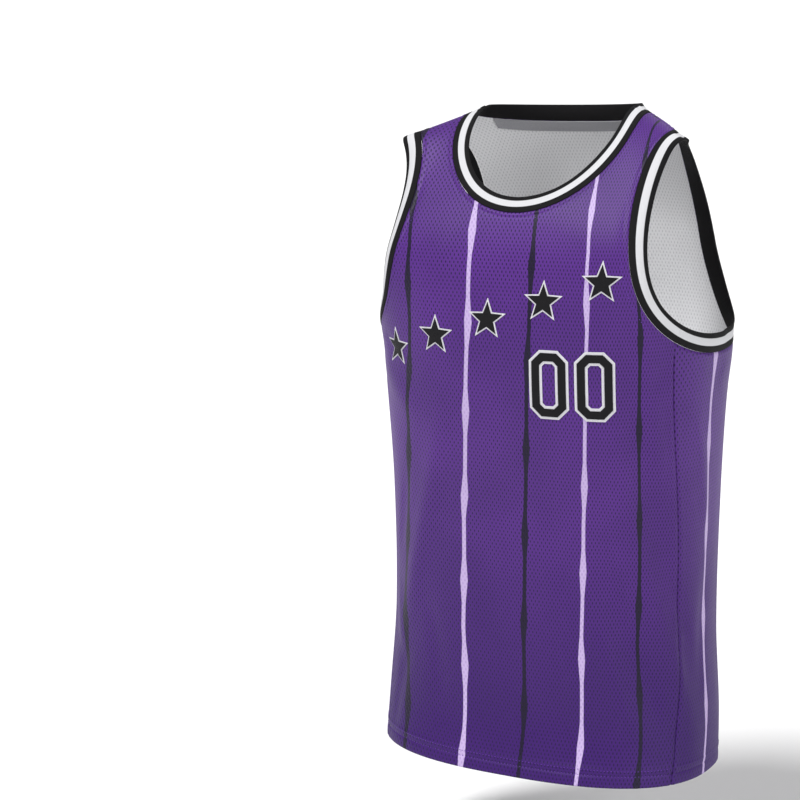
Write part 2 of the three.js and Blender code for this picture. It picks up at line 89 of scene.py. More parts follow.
# Smaller creases between them
creases = {
    "front": (
        (-152, -640, -178, -740, 4, 9, -1.8),
        (-118, -560, -96, -700, -6, 12, -1.4),
        (-150, -420, -172, -520, 0, 8, -1.6),
        (-176, -560, -160, -640, 5, 8, 1.5),
        (52, -420, 78, -560, 8, 11, -1.3),
        (70, -600, 92, -720, 5, 9, 1.2),
        (128, -470, 150, -560, 5, 7, 1.4),
        (182, -500, 214, -610, 6, 7, 1.6),
        (176, -640, 204, -745, 4, 8, 1.8),
        (236, -330, 248, -470, -5, 9, 1.5),
        (252, -520, 240, -660, 6, 10, -1.6),
        (-236, -340, -250, -480, 5, 9, -1.5),
        (-30, -480, -18, -640, 6, 20, -1.2),
        (-62, -640, -48, -750, 3, 12, 1.1),
        (6, -150, 60, -226, -8, 20, -1.1),
        (-72, -120, -104, -232, 6, 15, 1.2),
        (116, -90, 128, -190, -3, 10, 1.1),
        (-128, -60, -134, -150, 3, 8, -0.9),
        (-182, -250, -150, -272, 0, 9, -1.5),
        (190, -262, 168, -300, 0, 8, -1.2),
    ),
    "back": (
        (128, -260, 168, -318, 5, 11, -1.8),
        (176, -320, 196, -420, 4, 9, 1.7),
        (60, -430, 72, -560, -4, 10, -1.3),
        (-60, -420, -44, -600, 6, 16, 1.3),
        (-96, -600, -112, -735, 3, 10, -1.4),
        (170, -600, 186, -730, -5, 10, 1.8),
        (128, -640, 110, -750, 4, 12, -1.5),
        (34, -620, 44, -750, 0, 12, 1.1),
        (-90, -70, -110, -160, 4, 12, 1.0),
        (96, -80, 112, -170, -4, 12, -1.0),
        (-196, -440, -204, -560, 4, 9, -1.5),
        (0, -60, -8, -140, 0, 26, -0.9),
    ),
}


def smoothStep(value, low, high):  # 3t^2 - 2t^3 between the two limits
    t = np.clip((value - low) / (high - low), 0, 1)
    return t * t * (3 - 2 * t)


def sectionValue(name, z):
    # Cubic through one column of the section table, with slopes from the next rows
    heights = np.array(body["sections"]["z"], float)
    values = np.array(body["sections"][name], float)
    index = np.arange(len(heights))
    below, above = np.maximum(index - 1, 0), np.minimum(index + 1, len(heights) - 1)
    slopes = (values[above] - values[below]) / (heights[above] - heights[below])
    z = np.clip(z, heights[0], heights[-1])
    row = np.clip(np.searchsorted(heights, z) - 1, 0, len(heights) - 2)
    span = heights[row + 1] - heights[row]
    t = (z - heights[row]) / span
    rise = t * t * (3 - 2 * t)
    bend = t * (1 - t) * span * ((1 - t) * slopes[row] - t * slopes[row + 1])
    return values[row] * (1 - rise) + values[row + 1] * rise + bend


def shoulderHeight(x):  # a soft gable that is zero at the neck corner
    shoulder = body["shoulder"]
    corner = np.hypot(body["neck"]["halfWidth"], shoulder["bend"])
    return shoulder["slope"] * (corner - np.hypot(x, shoulder["bend"]))


def shoulderLevel(x, z):
    return np.clip((shoulderHeight(x) - z) / body["shoulder"]["radius"], 0, 1)


def middleY(x, z):  # where front and back would meet
    shoulder = body["shoulder"]
    return -shoulder["forward"] * np.minimum(1, x / shoulder["atX"]) ** 4 * (1 - shoulderLevel(x, z)) ** 2


def sectionHalf(z, isBack):
    depth = np.where(isBack, sectionValue("back", z), sectionValue("front", z))
    width = np.where(isBack, sectionValue("backWidth", z), sectionValue("frontWidth", z))
    power = np.where(isBack, sectionValue("backSquareness", z), sectionValue("frontSquareness", z))
    return depth, width, power


def sectionPoint(turn, z):
    # A rounded oblong by turn: x from the sine, y from the cosine, drawn in at the shoulders
    isBack = np.cos(turn) < 0
    depth, width, power = sectionHalf(z, isBack)
    x = width * np.abs(np.sin(turn)) ** (2 / power)
    level = shoulderLevel(x, z)
    reach = depth * np.abs(np.cos(turn)) ** (2 / power) * np.sqrt(level * (2 - level))
    return x, middleY(x, z) + np.where(isBack, reach, -reach)


# Lengths round half a section, tabulated by height and turn
tableTurns = np.pi * (0.5 - 0.5 * np.cos(np.linspace(0, np.pi, 361)))  # closer at the face centres
tableHeights = np.arange(-758, 40, 2.0)
ringX, ringY = sectionPoint(tableTurns[None, :], tableHeights[:, None])
ringSteps = np.hypot(np.diff(ringX, axis=1), np.diff(ringY, axis=1))
ringLengths = np.concatenate([np.zeros((len(tableHeights), 1)), np.cumsum(ringSteps, axis=1)], axis=1)


def lengthAtTurn(turn, z):  # bilinear in the table
    column = np.clip(np.arccos(np.clip(1 - 2 * turn / np.pi, -1, 1)) / np.pi * 360, 0, 359.999)
    row = np.clip((z + 758) / 2, 0, len(tableHeights) - 1.001)
    c, r = column.astype(int), row.astype(int)
    fc, fr = column - c, row - r
    low = ringLengths[r, c] * (1 - fc) + ringLengths[r, c + 1] * fc
    high = ringLengths[r + 1, c] * (1 - fc) + ringLengths[r + 1, c + 1] * fc
    return low * (1 - fr) + high * fr


def halfGirth(z):
    return lengthAtTurn(np.full(np.shape(z), np.pi), z)


def turnWhere(isBelow, shape, low=0.0, high=np.pi):  # bisection on whole arrays
    start, end = np.full(shape, low), np.full(shape, high)
    for _ in range(40):
        middle = (start + end) / 2
        below = isBelow(middle)
        start, end = np.where(below, middle, start), np.where(below, end, middle)
    return (start + end) / 2


def turnAtLength(length, z):
    return turnWhere(lambda turn: lengthAtTurn(turn, z) < length, np.shape(length))


def turnAtX(x, z, isBack):
    _, width, power = sectionHalf(z, isBack)
    turn = np.arcsin(np.clip(x / width, 0, 1) ** (power / 2))
    return np.where(isBack, np.pi - turn, turn)


def outwardAt(x, y, z, isBack):
    # Slope of a height that is zero on the cloth, by central differences
    isRounded = shoulderLevel(x, z) < 1

    def height(px, py, pz):
        depth, width, power = sectionHalf(pz, isBack)
        across, reach = np.abs(px) / width, np.abs(py - middleY(px, pz))
        level = shoulderLevel(px, pz)
        taper = np.clip(1 - across ** power, 0, 1) ** (2 / power)
        rounded = reach ** 2 - depth ** 2 * taper * level * (2 - level)
        return np.where(isRounded, rounded, (reach / depth) ** power + across ** power - 1)

    slope = np.stack([
        height(x + 0.5, y, z) - height(x - 0.5, y, z),
        height(x, y + 0.5, z) - height(x, y - 0.5, z),
        height(x, y, z + 0.5) - height(x, y, z - 0.5),
    ], axis=-1)
    return slope / np.linalg.norm(slope, axis=-1, keepdims=True)


def foldLift(rows, s, z):
    # Each fold is a bell across its bowed line that fades out at both ends
    lift = np.zeros(np.shape(s))
    for fromS, fromZ, toS, toZ, bow, width, height in rows:
        runS, runZ = toS - fromS, toZ - fromZ
        length = np.hypot(runS, runZ)
        along = ((s - fromS) * runS + (z - fromZ) * runZ) / length ** 2
        across = ((s - fromS) * runZ - (z - fromZ) * runS) / length
        across = across - bow * 4 * along * (1 - along)
        ends = smoothStep(along, -0.15, 0.3) * (1 - smoothStep(along, 0.7, 1.15))
        lift += height * np.exp(-(across / width) ** 2) * ends
    return lift


def cloth(turn, z, side):
    # Point of the cloth's middle and its outward direction; side is 1 on the wearer's left
    isBack = np.cos(turn) < 0
    x, y = sectionPoint(turn, z)
    outward = outwardAt(x, y, z, isBack)
    length = lengthAtTurn(turn, z)
    fromFront, fromBack = side * length, side * (halfGirth(z) - length)
    lift = foldLift(folds["front"], fromFront, z) + foldLift(folds["back"], fromBack, z)
    lift += foldLift(creases["front"], fromFront, z) + foldLift(creases["back"], fromBack, z)
    point = np.stack([x, y, z + 0 * x], axis=-1) + outward * lift[..., None]
    point[..., 0] *= side
    outward[..., 0] *= side
    point[..., 2] += body["shoulder"]["lean"] * point[..., 0] * smoothStep(z, -360, -60)
    return point, outward


def armholePoint(angle):
    # Zero at the top, grows down the front, negative behind: half an egg laid on the
    # line from the shoulder to the lowest point, each half seen from its own angle
    hole, shoulder = body["armhole"], body["shoulder"]
    angle = np.asarray(angle, float)
    isBack = np.sin(angle) < 0
    reach, egg, fullness = [np.where(isBack, hole["back"][key], hole["front"][key])
                            for key in ("reach", "egg", "fullness")]
    sweep = np.abs(np.sin(angle)) ** fullness * (1 - egg * np.cos(angle))
    z = hole["centreZ"] + hole["reachZ"] * np.cos(angle)
    seenAt = np.radians(hole["seenFrom"]) * np.where(isBack, -1, 1)
    topZ, lowZ = hole["centreZ"] + hole["reachZ"], hole["centreZ"] - hole["reachZ"]
    corner = np.hypot(body["neck"]["halfWidth"], shoulder["bend"])
    topX = np.sqrt((corner - topZ / shoulder["slope"]) ** 2 - shoulder["bend"] ** 2)
    top = topX * np.cos(seenAt) + middleY(topX, topZ) * np.sin(seenAt)
    low = sectionValue("frontWidth", lowZ) * np.cos(seenAt)
    edge = top + (low - top) * (1 - np.cos(angle)) / 2 - reach * sweep

    def isInside(part):
        x, y = sectionPoint(np.where(isBack, np.pi - part, part), z)
        return x * np.cos(seenAt) + y * np.sin(seenAt) < edge

    part = turnWhere(isInside, angle.shape, 0.0, np.pi / 2)
    turn = np.where(isBack, np.pi - part, part)
    return sectionPoint(turn, z)[0], z, turn


def joinAngle(isBack):  # where the armhole edge meets the side seam
    low, high = np.pi / 2, np.pi
    for _ in range(40):
        middle = (low + high) / 2
        _, z, turn = armholePoint(-middle if isBack else middle)
        length = lengthAtTurn(turn, z)
        if isBack:
            isBefore = length > halfGirth(z) - body["seam"]["back"]
        else:
            isBefore = length < body["seam"]["front"]
        low, high = (middle, high) if isBefore else (low, middle)
    return (low + high) / 2


joins = {"front": joinAngle(False), "back": joinAngle(True)}
bottom = body["sections"]["z"][0]


def neckEdgeAt(share, isBack):
    # Points of the neck edge at shares of its length from the centre, as x and z
    neck = body["neck"]
    face = "back" if isBack else "front"
    drop, roundness = neck[face + "Drop"], neck[face + "Round"]
    x = neck["halfWidth"] * np.sin(np.linspace(0, np.pi / 2, 1201))
    z = -drop * np.clip(1 - (x / neck["halfWidth"]) ** roundness, 0, 1) ** (1 / roundness)
    _, y = sectionPoint(turnAtX(x, z, np.full(x.shape, isBack)), z)
    steps = np.sqrt(np.diff(x) ** 2 + np.diff(y) ** 2 + np.diff(z) ** 2)
    lengths = np.concatenate([[0], np.cumsum(steps)])
    wanted = np.asarray(share) * lengths[-1]
    return np.interp(wanted, lengths, x), np.interp(wanted, lengths, z)


def crowdEnds(count, start, end):  # 0..1 with closer steps at the chosen ends
    t = np.linspace(0, 1, count + 1)
    both = 0.5 - 0.5 * np.cos(np.pi * t)
    late = np.sin(np.pi / 2 * t)
    shaped = both if start and end else late if end else t
    return 0.25 * t + 0.75 * shaped if (start or end) else t


# How finely the cloth is drawn
panelGrid = {
    "innerColumns": 34, "strapColumns": 22, "rowHeight": 5.0, "underNeckRows": 46, "strapRows": 44,
    "hemRows": (0, 0.7, 1.6, 3.5, 6.5, 9.5, 11.4, 12.3, 13, 13.7, 14.6, 16.5, 18.4, 19.6, 20.8, 22.5, 25),
    "sideColumns": 26,
}


def heightsUpTo(top):
    hem = bottom + np.array(panelGrid["hemRows"], float)
    count = int(round((top - hem[-1]) / panelGrid["rowHeight"]))
    return np.concatenate([hem, np.linspace(hem[-1], top, count + 1)[1:]])


def facePlaces(isBack):
    # Half a face as turns and heights: level rows to the armhole, then rows mixed
    # towards the neck edge, then the strap; missing columns are marked nan
    face = "back" if isBack else "front"
    seam, join = body["seam"][face], (-1 if isBack else 1) * joins[face]
    share, lowShare = body["strapShare"][face], body["lowNeckShare"][face]
    inner, strap = panelGrid["innerColumns"], panelGrid["strapColumns"]
    columns = inner + strap
    strapPlaces = crowdEnds(strap, True, True)
    split = seam * 0.6
    spread = np.concatenate([np.linspace(0, split, inner + 1), split + (seam - split) * strapPlaces[1:]])
    _, joinZ, _ = armholePoint(join)
    heights = heightsUpTo(float(joinZ))
    length = np.broadcast_to(spread, (len(heights), columns + 1)).copy()
    length[:, -1] -= body["gap"] / 2
    z = np.broadcast_to(heights[:, None], length.shape)
    fromFront = halfGirth(z) - length if isBack else length
    lowTurn = turnAtLength(fromFront, z)
    startX, startZ = sectionPoint(lowTurn[-1], z[-1])[0], z[-1]

    lowX, lowZ = neckEdgeAt(lowShare * np.linspace(0, 1, inner + 1), isBack)
    sideX, sideZ, _ = armholePoint(join * share)
    endX = np.concatenate([lowX, lowX[-1] + (sideX - lowX[-1]) * strapPlaces[1:]])
    endZ = np.concatenate([lowZ, lowZ[-1] + (sideZ - lowZ[-1]) * strapPlaces[1:]])
    part = crowdEnds(panelGrid["underNeckRows"], False, True)[1:, None]
    edgeX, edgeZ, _ = armholePoint(join * (1 - (1 - share) * part[:, 0]))
    pull = (spread / seam) ** 2
    midX = startX + (endX - startX) * part
    midZ = startZ + (endZ - startZ) * part
    midX = midX + (edgeX - midX[:, -1])[:, None] * pull
    midZ = midZ + (edgeZ - midZ[:, -1])[:, None] * pull

    rise = np.linspace(0, 1, panelGrid["strapRows"] + 1)[1:]
    besideX, besideZ = neckEdgeAt(lowShare + (1 - lowShare) * rise, isBack)
    outerX, outerZ, _ = armholePoint(join * share * (1 - rise))
    topX = besideX[:, None] + (outerX - besideX)[:, None] * strapPlaces
    topZ = besideZ[:, None] + (outerZ - besideZ)[:, None] * strapPlaces
    gone = np.full((len(rise), inner), np.nan)
    upperX = np.concatenate([midX, np.concatenate([gone, topX], axis=1)])
    upperZ = np.concatenate([midZ, np.concatenate([gone, topZ], axis=1)])
    filledX, filledZ = np.nan_to_num(upperX, nan=50.0), np.nan_to_num(upperZ, nan=-300.0)
    upperTurn = turnAtX(filledX, filledZ, np.full(filledX.shape, isBack))
    turn = np.concatenate([lowTurn, np.where(np.isnan(upperX), np.nan, upperTurn)])
    return turn, np.concatenate([z, upperZ])


# Patterns are drawn in flat cloth coordinates, carried by the mesh as a UV map in metres
stripes = {
    "spacing": 74.0,
    "heights": (-720, -590, -450, -330, -225, -140, -60, 0),
    "frontAt": (  # where five of them cross the front, from its centre, at each height
        (-148, -57, 15, 88, 156), (-159, -62, 12, 86, 148),
        (-149, -57, 16, 90, 150), (-134, -46, 27, 97, 156),
        (-122, -40, 32, 101, 158), (-123, -43, 30, 98, 150),
        (-142, -52, 24, 86, 138), (-152, -55, 22, 80, 130),
    ),
    "backAt": ((-152, -84, -16, 52, 122),) * 8,
    "sideAt": {"left": 0.5, "right": 0.12},    # share of the side panel's width
}


def patternAcross(s, z, isBack):
    # s stretched by a cubic, fitted at each height, so that the stripes come evenly spaced
    indices = np.arange(5) - 2
    rows = stripes["backAt" if isBack else "frontAt"]
    fits = np.array([np.polyfit(row, indices * stripes["spacing"], 3) for row in rows])
    cubic, square, slope, start = [np.interp(z, stripes["heights"], fits[:, i]) for i in range(4)]
    return ((cubic * s + square) * s + slope) * s + start


def climbTable(isBack):
    # Length of cloth up a line of constant x, from the height where the shoulder rounds
    xs, zs = np.linspace(0, 230, 116), np.linspace(-160, 40, 401)
    gridX, gridZ = np.meshgrid(xs, zs, indexing="ij")
    depth, width, power = sectionHalf(gridZ, np.full(gridX.shape, isBack))
    taper = np.clip(1 - (gridX / width) ** power, 0, 1) ** (1 / power)
    level = shoulderLevel(gridX, gridZ)
    y = middleY(gridX, gridZ) + (1 if isBack else -1) * depth * taper * np.sqrt(level * (2 - level))
    steps = np.minimum(np.hypot(np.diff(y, axis=1), np.diff(gridZ, axis=1)), 12)
    return np.concatenate([np.zeros((len(xs), 1)), np.cumsum(steps, axis=1)], axis=1) - 160


def clothUp(x, z, isBack):
    table = climbTable(isBack)
    column = np.clip((z + 160) / 0.5, 0, 399.999)
    row = np.clip(x / 2, 0, 114.999)
    c, r = column.astype(int), row.astype(int)
    fc, fr = column - c, row - r
    low = table[r, c] * (1 - fc) + table[r, c + 1] * fc
    high = table[r + 1, c] * (1 - fc) + table[r + 1, c + 1] * fc
    return np.where(z < -160, z, low * (1 - fr) + high * fr)


def nearest(points, line):  # distance from each point to the nearest one of a close line
    flat = points.reshape(-1, 3)
    parts = [np.sqrt(((flat[i:i + 2000, None] - line[None]) ** 2).sum(-1).min(1))
             for i in range(0, len(flat), 2000)]
    return np.concatenate(parts).reshape(points.shape[:-1])


def wallMesh(name, outer, inner, uv, materials, isThere=None):
    # Two skins on one grid, joined round every edge that only one cell has
    rows, columns = outer.shape[:2]
    isThere = np.ones((rows, columns), bool) if isThere is None else isThere
    index = np.arange(rows * columns).reshape(rows, columns)
    cell = isThere[:-1, :-1] & isThere[1:, :-1] & isThere[:-1, 1:] & isThere[1:, 1:]
    quads = np.stack([index[:-1, :-1], index[:-1, 1:], index[1:, 1:], index[1:, :-1]], -1)[cell]
    padded = np.pad(cell, 1)
    sides = []
    below, above = padded[:-1, 1:-1], padded[1:, 1:-1]      # cells under and over each level edge
    levelEdges = np.stack([index[:, :-1], index[:, 1:]], -1)
    sides.append(levelEdges[above & ~below])
    sides.append(levelEdges[below & ~above][:, ::-1])
    left, right = padded[1:-1, :-1], padded[1:-1, 1:]       # cells before and after each upright edge
    uprightEdges = np.stack([index[:-1, :], index[1:, :]], -1)
    sides.append(uprightEdges[left & ~right])
    sides.append(uprightEdges[right & ~left][:, ::-1])
    edges = np.concatenate(sides)
    count = rows * columns
    rim = np.stack([edges[:, 0], edges[:, 0] + count, edges[:, 1] + count, edges[:, 1]], -1)
    faces = np.concatenate([quads, quads[:, ::-1] + count, rim])
    slots = np.repeat([0, 1, 0], [len(quads), len(quads), len(rim)])
    points = np.concatenate([outer.reshape(-1, 3), inner.reshape(-1, 3)])
    flatUv = np.concatenate([uv.reshape(-1, 2)] * 2)
    used, renumbered = np.unique(faces, return_inverse=True)
    return meshObject(name, points[used], renumbered.reshape(faces.shape), flatUv[used], slots, materials)


def ringFaces(rows, columns):
    index = np.arange(rows * columns).reshape(rows, columns)
    nextRow, nextColumn = np.roll(index, -1, 0), np.roll(index, -1, 1)
    return np.stack([index, nextRow, np.roll(nextRow, -1, 1), nextColumn], -1).reshape(-1, 4)


def ringMesh(name, points, uv, slots, materials):
    # A grid closed both ways: the first axis runs along, the second round the profile
    faces = ringFaces(*points.shape[:2])
    return meshObject(name, points.reshape(-1, 3), faces, uv.reshape(-1, 2), slots.reshape(-1), materials)


def meshObject(name, points, faces, uv, slots, materials):
    mesh = bpy.data.meshes.new(name)
    mesh.from_pydata(points / 1000, [], faces.tolist())
    mesh.polygons.foreach_set("use_smooth", np.ones(len(faces), bool))
    mesh.polygons.foreach_set("material_index", np.asarray(slots, np.int32))
    layer = mesh.uv_layers.new(name="clothMap")
    layer.data.foreach_set("uv", (uv[faces.reshape(-1)] / 1000).reshape(-1))
    for material in materials:
        mesh.materials.append(material)
    mesh.update()
    piece = bpy.data.objects.new(name, mesh)
    bpy.context.scene.collection.objects.link(piece)
    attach(piece, "root")
    return piece


# Materials
def linear(hexColour):  # sRGB hex to linear colour
    parts = np.array([int(hexColour[i:i + 2], 16) for i in (1, 3, 5)]) / 255
    value = np.where(parts <= 0.04045, parts / 12.92, ((parts + 0.055) / 1.055) ** 2.4)
    return (*value.tolist(), 1.0)


def addNode(tree, kind, settings=None, **inputs):
    # A node with its settings, and inputs given as values or as links from sockets
    node = tree.nodes.new(kind)
    for key, value in (settings or {}).items():
        setattr(node, key, value)
    for key, value in inputs.items():
        socket = node.inputs[int(key[1:])] if key[0] == "i" and key[1:].isdigit() else node.inputs[key]
        if isinstance(value, bpy.types.NodeSocket):
            tree.links.new(value, socket)
        else:
            socket.default_value = value
    return node


def math(tree, operation, first, second=0.0, third=0.0, clamp=False):
    settings = {"operation": operation, "use_clamp": clamp}
    return addNode(tree, "ShaderNodeMath", settings, i0=first, i1=second, i2=third).outputs[0]


def mixColour(tree, share, first, second):
    node = addNode(tree, "ShaderNodeMix", {"data_type": "RGBA"}, i0=share, i6=first, i7=second)
    return node.outputs[2]


def fade(tree, value, low, high):  # 0 below low, 1 above high, smooth between
    node = addNode(tree, "ShaderNodeMapRange", {"interpolation_type": "SMOOTHSTEP"},
                   Value=value, i1=low, i2=high, i3=0.0, i4=1.0)
    return node.outputs[0]


def newMaterial(name, roughness, sheen=0.0, sheenTint="#ffffff", specular=0.5):
    material = bpy.data.materials.new(name)
    material.use_nodes = True
    tree = material.node_tree
    shader = tree.nodes["Principled BSDF"]
    shader.inputs["Roughness"].default_value = roughness
    shader.inputs["Specular IOR Level"].default_value = specular
    shader.inputs["Sheen Weight"].default_value = sheen
    shader.inputs["Sheen Roughness"].default_value = 0.45
    shader.inputs["Sheen Tint"].default_value = linear(sheenTint)
    return material, tree, shader


def clothMapOf(tree):
    node = addNode(tree, "ShaderNodeUVMap", {"uv_map": "clothMap"})
    parts = addNode(tree, "ShaderNodeSeparateXYZ", i0=node.outputs[0])
    return parts.outputs[0], parts.outputs[1], node.outputs[0]


def setBump(tree, shader, height, distance, strength=1.0):
    bump = addNode(tree, "ShaderNodeBump", None, Strength=strength, Distance=distance, Height=height)
    tree.links.new(bump.outputs[0], shader.inputs["Normal"])


# Athletic mesh: polyester warp knit with upright oval eyelets in staggered rows
meshKnit = {
    "pitch": 4.7, "rowPitch": 4.2, "holeWidth": 1.35, "holeHeight": 2.9,
    # The deep colour and the two heights after it are painted shade: the knit is drawn darker towards the hem
    "base": ("#482173", "#51267e"), "deep": "#2a0756", "paintedShadeFrom": (-0.36, -0.74),
    # The hole colours are painted shade: the dark of the unlit inside seen through the eyelets
    "hole": "#170333", "inside": "#e0e0e2", "insideHoleShade": "#a0a0a5",
    "light": "#b5a1cc", "dark": "#150a2a",
    "stripeWidth": 4.6, "markWidth": 9.0, "markLength": 56.0, "markEvery": 104.0,
}


def eyelets(tree, u, v):
    # 1 in a hole, 0 on the yarn: two staggered lattices of ovals
    near = []
    for shift in (0.0, 0.5):
        dx = math(tree, "SUBTRACT", math(tree, "FRACT", math(tree, "ADD", math(
            tree, "MULTIPLY", u, 1000 / meshKnit["pitch"]), shift)), 0.5)
        dz = math(tree, "SUBTRACT", math(tree, "FRACT", math(tree, "ADD", math(
            tree, "MULTIPLY", v, 500 / meshKnit["rowPitch"]), shift)), 0.5)
        dx = math(tree, "MULTIPLY", dx, 2 * meshKnit["pitch"] / meshKnit["holeWidth"])
        dz = math(tree, "MULTIPLY", dz, 4 * meshKnit["rowPitch"] / meshKnit["holeHeight"])
        near.append(math(tree, "ADD", math(tree, "MULTIPLY", dx, dx), math(tree, "MULTIPLY", dz, dz)))
    closest = math(tree, "MINIMUM", near[0], near[1])
    return math(tree, "SUBTRACT", 1.0, fade(tree, closest, 0.45, 1.9))


def stripeShare(tree, u, v):
    # Thin upright lines every spacing, widened into slim diamonds at intervals
    spacing = stripes["spacing"] / 1000
    turns = math(tree, "ADD", math(tree, "DIVIDE", u, spacing), 0.5)
    number = math(tree, "FLOOR", turns)
    offset = math(tree, "ABSOLUTE", math(tree, "SUBTRACT", math(tree, "FRACT", turns), 0.5))
    away = math(tree, "MULTIPLY", offset, spacing)
    every = meshKnit["markEvery"] / 1000
    climb = math(tree, "ADD", math(tree, "DIVIDE", v, every), math(tree, "MULTIPLY", number, 0.37))
    fromMark = math(tree, "MULTIPLY", math(tree, "ABSOLUTE", math(
        tree, "SUBTRACT", math(tree, "FRACT", climb), 0.5)), every)
    markShare = math(tree, "DIVIDE", fromMark, meshKnit["markLength"] / 2000)
    mark = math(tree, "SUBTRACT", 1.0, markShare, clamp=True)
    extra = (meshKnit["markWidth"] - meshKnit["stripeWidth"]) / 2000
    half = math(tree, "MULTIPLY_ADD", mark, extra, meshKnit["stripeWidth"] / 2000)
    inside = fade(tree, math(tree, "SUBTRACT", half, away), -0.0003, 0.0003)
    isDark = math(tree, "FLOORED_MODULO", number, 2.0)
    return inside, isDark


def meshCloth(name, darkWhenEven):
    material, tree, shader = newMaterial(name, 0.5, 0.06, "#c9b2e8", 0.25)
    u, v, _ = clothMapOf(tree)
    hole = eyelets(tree, u, v)
    inside, number = stripeShare(tree, u, v)
    isDark = math(tree, "ABSOLUTE", math(tree, "SUBTRACT", number, darkWhenEven))
    place = addNode(tree, "ShaderNodeTexCoord").outputs["Object"]
    cloudy = addNode(tree, "ShaderNodeTexNoise", None, Vector=place, Scale=9.0, Detail=3.0).outputs[0]
    base = mixColour(tree, fade(tree, cloudy, 0.3, 0.7), *[linear(part) for part in meshKnit["base"]])
    # Painted shade: the base darkened towards the hem, where the cloth faces down and away from the light
    paintedShadeShare = math(tree, "MULTIPLY", fade(tree, v, *meshKnit["paintedShadeFrom"]), 0.75)
    base = mixColour(tree, paintedShadeShare, base, linear(meshKnit["deep"]))
    line = mixColour(tree, isDark, linear(meshKnit["light"]), linear(meshKnit["dark"]))
    printed = mixColour(tree, inside, base, line)
    # Painted shade in the eyelets: dark where the inside shows through, paler on the light lines so that these look
    # nearly solid
    shade = mixColour(tree, isDark, linear("#a48fc0"), linear("#04020a"))
    holeShadeColour = mixColour(tree, inside, linear(meshKnit["hole"]), shade)
    colour = mixColour(tree, math(tree, "MULTIPLY", hole, 0.92), printed, holeShadeColour)
    tree.links.new(colour, shader.inputs["Base Color"])
    yarn = addNode(tree, "ShaderNodeTexNoise", None, Vector=place, Scale=1100.0, Detail=2.0).outputs[0]
    height = math(tree, "SUBTRACT", math(tree, "MULTIPLY", yarn, 0.25), hole)
    setBump(tree, shader, height, 0.0005, 0.8)
    return material


def insideCloth(name):  # the unprinted inner face of the same knit
    material, tree, shader = newMaterial(name, 0.7, 0.1)
    u, v, _ = clothMapOf(tree)
    hole = eyelets(tree, u, v)
    # Painted shade: the eyelets drawn darker grey on the inner face
    share = math(tree, "MULTIPLY", hole, 0.5)
    colour = mixColour(tree, share, linear(meshKnit["inside"]), linear(meshKnit["insideHoleShade"]))
    tree.links.new(colour, shader.inputs["Base Color"])
    setBump(tree, shader, math(tree, "SUBTRACT", 1.0, hole), 0.0003, 0.5)
    return material


# Rib knit, striped in its width, with fine ribs across the band
ribKnit = {"pitch": 1.3, "outerShare": 0.34, "whiteShare": 0.72, "black": "#121113", "white": "#cfcfd2"}


def ribCloth(name, isStriped):
    material, tree, shader = newMaterial(name, 0.75, 0.0, "#ffffff", 0.15)
    u, v, _ = clothMapOf(tree)
    ribs = math(tree, "SINE", math(tree, "MULTIPLY", u, 2000 * np.pi / ribKnit["pitch"]))
    place = addNode(tree, "ShaderNodeTexCoord").outputs["Object"]
    fuzz = addNode(tree, "ShaderNodeTexNoise", None, Vector=place, Scale=900.0, Detail=2.0).outputs[0]
    if isStriped:
        first = fade(tree, v, ribKnit["outerShare"] - 0.012, ribKnit["outerShare"] + 0.012)
        last = fade(tree, v, ribKnit["whiteShare"] - 0.012, ribKnit["whiteShare"] + 0.012)
        share = math(tree, "SUBTRACT", first, last)
    else:
        share = 0.0
    colour = mixColour(tree, share, linear(ribKnit["black"]), linear(ribKnit["white"]))
    # Painted shade: the colour darkened in the valleys between the ribs
    paintedValleyShade = math(tree, "MULTIPLY", fade(tree, ribs, 0.2, -1.0), 0.35)
    colour = mixColour(tree, paintedValleyShade, colour, linear("#070708") if not isStriped else mixColour(
        tree, share, linear("#060607"), linear("#a9a9ad")))
    tree.links.new(colour, shader.inputs["Base Color"])
    height = math(tree, "ADD", ribs, math(tree, "MULTIPLY", fuzz, 0.6))
    setBump(tree, shader, height, 0.00018, 0.7)
    return material


def wovenCloth(name, colourHex, valleyShadeHex, pitch, slant):
    # Plain thread or twill: fine ridges in one slanted direction, with painted shade in the valleys between them
    material, tree, shader = newMaterial(name, 0.6, 0.02, "#ffffff", 0.15)
    u, v, _ = clothMapOf(tree)
    run = math(tree, "ADD", u, math(tree, "MULTIPLY", v, slant))
    wave = math(tree, "SINE", math(tree, "MULTIPLY", run, 2000 * np.pi / pitch))
    colour = mixColour(tree, fade(tree, wave, 0.4, -1.0), linear(colourHex), linear(valleyShadeHex))
    tree.links.new(colour, shader.inputs["Base Color"])
    setBump(tree, shader, wave, 0.00012, 0.6)
    return material


frontMesh = meshCloth("frontMeshKnit", 1.0)
backMesh = meshCloth("backMeshKnit", 1.0)
sideMesh = meshCloth("sideMeshKnit", 0.0)
insideMesh = insideCloth("unprintedKnit")
ribStriped = ribCloth("ribKnitStriped", True)
ribPlain = ribCloth("ribKnitBlack", False)
# The second colour of each is painted shade in the valleys between the threads
tapeTwill = wovenCloth("greyHerringboneTape", "#a4a4a8", "#7e7e83", 1.1, 1.0)
blackTwill = wovenCloth("blackTackleTwill", "#131216", "#09080a", 0.9, 0.9)
whiteTwill = wovenCloth("whiteTackleTwill", "#d9d8dc", "#b3b2ba", 0.9, 0.9)
purpleThread = wovenCloth("purpleSewingThread", "#6b41a6", "#3f1f74", 0.6, 0.5)
print("materials made")

